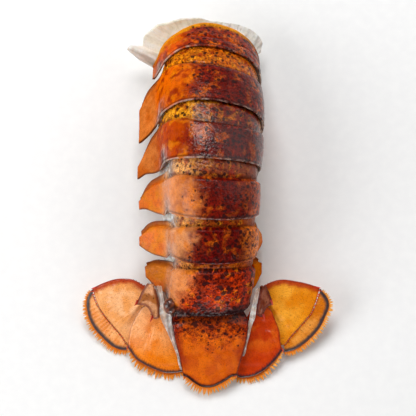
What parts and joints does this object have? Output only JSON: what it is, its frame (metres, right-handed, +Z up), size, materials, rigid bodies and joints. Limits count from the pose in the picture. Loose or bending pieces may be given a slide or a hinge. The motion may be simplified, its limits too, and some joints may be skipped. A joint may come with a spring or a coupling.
{
  "type": "frozen lobster tail",
  "caption": "Raw shell-on lobster tail, arched, with overlapping orange-red segments, spread tail fan with bristle fringes and pale meat at the cut end.",
  "frame": {"origin": "centre of the bounding box's underside, on the table the tail rests on", "axes": "+X across the tail, +Y towards the cut end, +Z up; the tail fan lies at -Y"},
  "size_m": [0.1084, 0.1618, 0.0504],
  "materials": {
    "shell": "wet glossy orange-red shell with dark red and near-black spots",
    "fan_shell": "wet glossy thin orange shell with dark margins",
    "bristles": "fine yellow-orange bristles in clumps",
    "flesh": "moist cream raw meat",
    "membrane": "thin grey-white translucent skin"
  },
  "bodies": {
    "root": {"segment_1": "shell", "segment_2": "shell", "segment_3": "shell", "segment_4": "shell", "segment_5": "shell", "segment_6": "shell", "left_protopod": "shell", "right_protopod": "shell", "telson": "fan_shell", "left_endopod": "fan_shell", "right_endopod": "fan_shell", "left_exopod": "fan_shell", "right_exopod": "fan_shell", "left_exopod_flap": "fan_shell", "right_exopod_flap": "fan_shell", "telson_fringe": "bristles", "left_endopod_fringe": "bristles", "right_endopod_fringe": "bristles", "left_exopod_fringe": "bristles", "right_exopod_fringe": "bristles", "left_fan_skin": "membrane", "right_fan_skin": "membrane", "cut_end_skin": "membrane", "left_hinge_skin_2": "membrane", "right_hinge_skin_2": "membrane", "left_hinge_skin_3": "membrane", "right_hinge_skin_3": "membrane", "left_hinge_skin_4": "membrane", "right_hinge_skin_4": "membrane", "left_hinge_skin_5": "membrane", "right_hinge_skin_5": "membrane", "underside_bar_2": "membrane", "underside_bar_3": "membrane", "underside_bar_4": "membrane", "underside_bar_5": "membrane", "left_swimmeret_2": "fan_shell", "right_swimmeret_2": "fan_shell", "left_swimmeret_3": "fan_shell", "right_swimmeret_3": "fan_shell", "left_swimmeret_4": "fan_shell", "right_swimmeret_4": "fan_shell", "left_swimmeret_5": "fan_shell", "right_swimmeret_5": "fan_shell", "meat": "flesh"}
  },
  "joints": []
}
